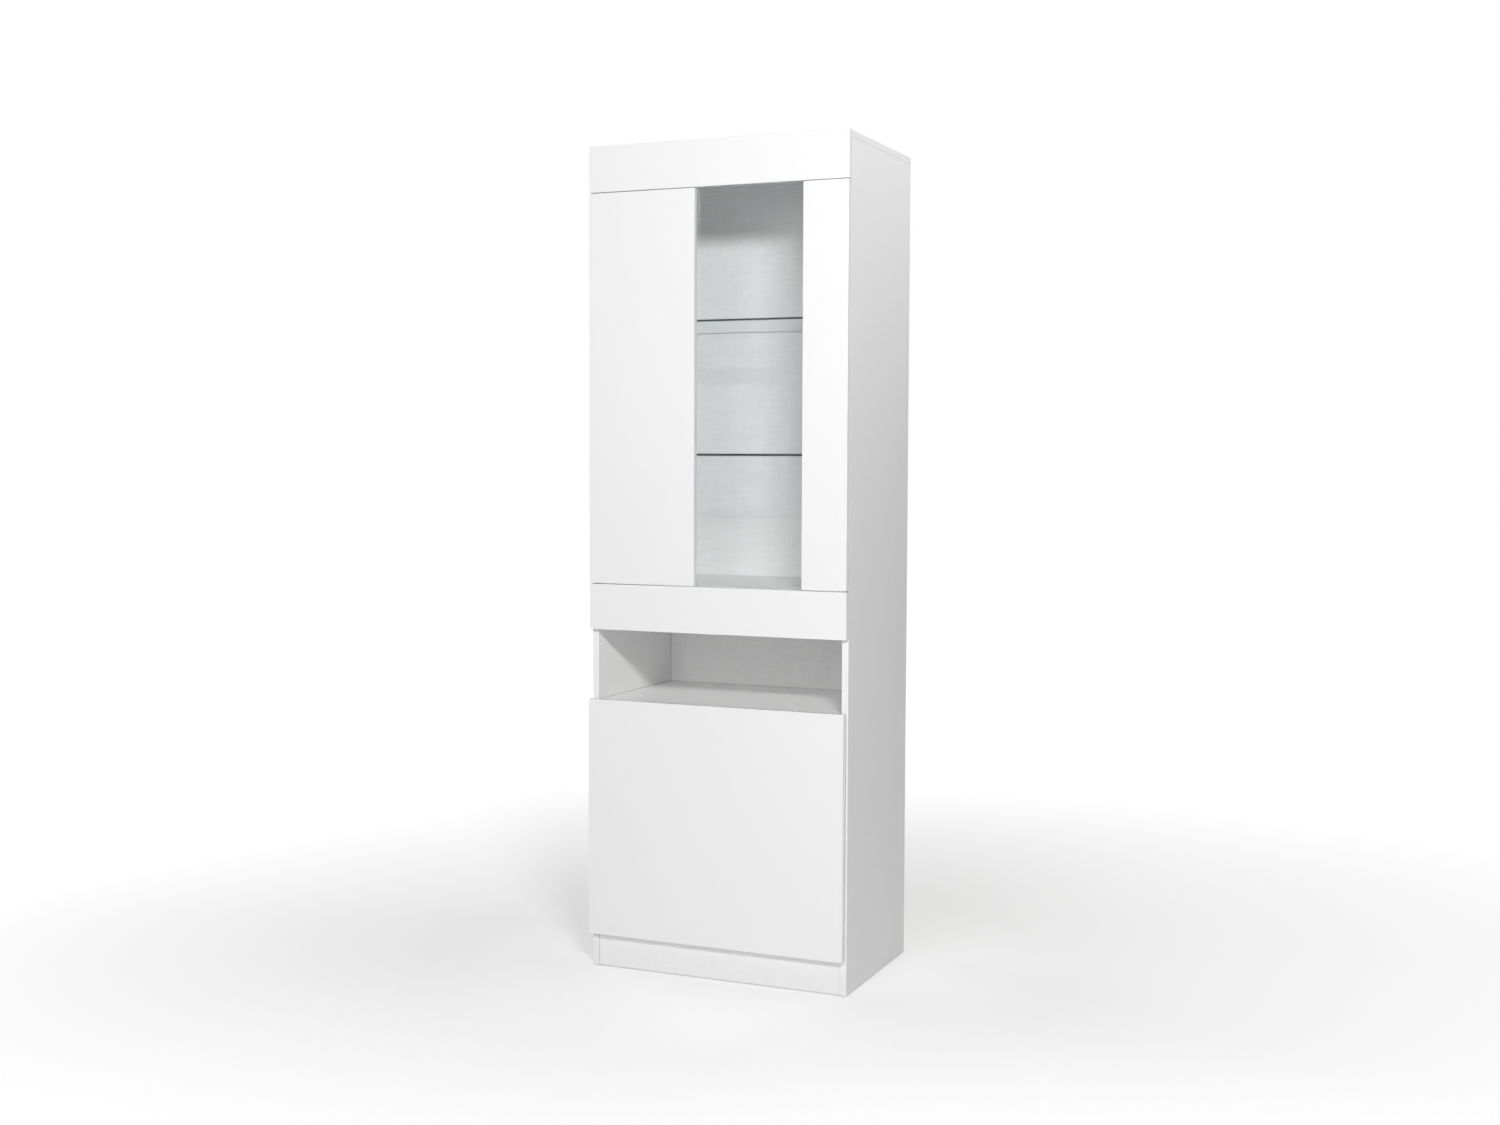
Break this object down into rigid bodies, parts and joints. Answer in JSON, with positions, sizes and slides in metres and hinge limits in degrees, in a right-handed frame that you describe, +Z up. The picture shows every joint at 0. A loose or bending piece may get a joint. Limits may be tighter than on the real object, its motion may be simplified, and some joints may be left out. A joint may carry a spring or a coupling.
{
  "type": "curio cabinet",
  "caption": "Tall narrow white display cabinet: a door with a glass strip between a wide and a narrow stile, glass shelves, an open niche and a handle-less cupboard below.",
  "frame": {"origin": "on the floor, at the middle of the cabinet's outer box", "axes": "+X to the cabinet's right seen from the front, the doors face -Y, +Z up"},
  "size_m": [0.67, 0.4416, 2],
  "materials": {
    "gloss_front": "high-gloss white lacquer on 16 mm board, white edge band",
    "melamine_board": "white melamine with a fine pearl texture on 16 mm particle board",
    "back_board": "white printed hardboard, fine linen texture",
    "clear_glass": "clear float glass with polished green edges",
    "nickel_steel": "nickel-plated steel",
    "beech": "plain fluted beech",
    "white_plastic": "moulded white plastic",
    "clear_rubber": "soft clear buffer"
  },
  "bodies": {
    "root": {"side_panel_left": "melamine_board", "side_panel_right": "melamine_board", "top_panel": "melamine_board", "display_floor": "melamine_board", "niche_floor": "melamine_board", "bottom_panel": "melamine_board", "back_panel_upper": "back_board", "back_panel_lower": "back_board", "plinth_front": "melamine_board", "plinth_rear": "melamine_board", "top_fascia": "gloss_front", "mid_fascia": "gloss_front", "fascia_brackets": "nickel_steel", "fascia_bracket_screws": "nickel_steel", "fascia_dowels": "beech", "glass_shelf_upper": "clear_glass", "glass_shelf_lower": "clear_glass", "glass_shelf_pins": "white_plastic", "cupboard_shelf": "melamine_board", "cupboard_shelf_pins": "nickel_steel", "cam_locks": "nickel_steel", "cam_bolts": "nickel_steel", "carcass_dowels": "beech", "cam_caps": "white_plastic", "back_nails": "nickel_steel", "floor_glides": "white_plastic", "wall_brackets": "nickel_steel", "wall_bracket_screws": "nickel_steel", "upper_hinge_plates": "nickel_steel", "upper_hinge_arms": "nickel_steel", "upper_arm_pins": "nickel_steel", "upper_plate_screws": "nickel_steel", "upper_arm_screws": "nickel_steel", "lower_hinge_plates": "nickel_steel", "lower_hinge_arms": "nickel_steel", "lower_arm_pins": "nickel_steel", "lower_plate_screws": "nickel_steel", "lower_arm_screws": "nickel_steel", "upper_latch_housing": "white_plastic", "lower_latch_housing": "white_plastic"},
    "upper_links": {"upper_hinge_links": "nickel_steel"},
    "upper_door": {"upper_stile_wide": "gloss_front", "upper_stile_narrow": "gloss_front", "upper_door_glass": "clear_glass", "glass_clips": "white_plastic", "glass_clip_screws": "nickel_steel", "upper_hinge_cups": "nickel_steel", "upper_cup_pins": "nickel_steel", "upper_cup_screws": "nickel_steel", "upper_strike_disc": "nickel_steel", "upper_door_bumpers": "clear_rubber"},
    "lower_links": {"lower_hinge_links": "nickel_steel"},
    "lower_door": {"lower_door_panel": "gloss_front", "lower_hinge_cups": "nickel_steel", "lower_cup_pins": "nickel_steel", "lower_cup_screws": "nickel_steel", "lower_strike_disc": "nickel_steel", "lower_door_bumpers": "clear_rubber"},
    "upper_latch": {"upper_latch_plunger": "white_plastic"},
    "lower_latch": {"lower_latch_plunger": "white_plastic"}
  },
  "joints": [
    {"name": "upper_link_swing", "type": "hinge", "parent": "root", "child": "upper_links", "pos_m": [-0.303, -0.20325, 1.419], "axis": [0, 0, 1], "range_deg": [0, 50]},
    {"name": "upper_door_swing", "type": "hinge", "parent": "upper_links", "child": "upper_door", "pos_m": [-0.32, -0.20975, 1.419], "axis": [0, 0, -1], "range_deg": [0, 150]},
    {"name": "lower_link_swing", "type": "hinge", "parent": "root", "child": "lower_links", "pos_m": [-0.307, -0.20325, 0.3745], "axis": [0, 0, 1], "range_deg": [0, 50]},
    {"name": "lower_door_swing", "type": "hinge", "parent": "lower_links", "child": "lower_door", "pos_m": [-0.324, -0.20975, 0.3745], "axis": [0, 0, -1], "range_deg": [0, 150]},
    {"name": "upper_latch_slide", "type": "slide", "parent": "root", "child": "upper_latch", "axis": [0, -1, 0], "range_m": [0, 0.02]},
    {"name": "lower_latch_slide", "type": "slide", "parent": "root", "child": "lower_latch", "axis": [0, -1, 0], "range_m": [0, 0.02]}
  ],
  "couplings": [
    {"joint": "upper_link_swing", "follows": "upper_door_swing", "ratio": 0.33333},
    {"joint": "lower_link_swing", "follows": "lower_door_swing", "ratio": 0.33333},
    {"joint": "upper_latch_slide", "follows": "upper_door_swing", "m_per_rad": 0.007639},
    {"joint": "lower_latch_slide", "follows": "lower_door_swing", "m_per_rad": 0.007639}
  ]
}
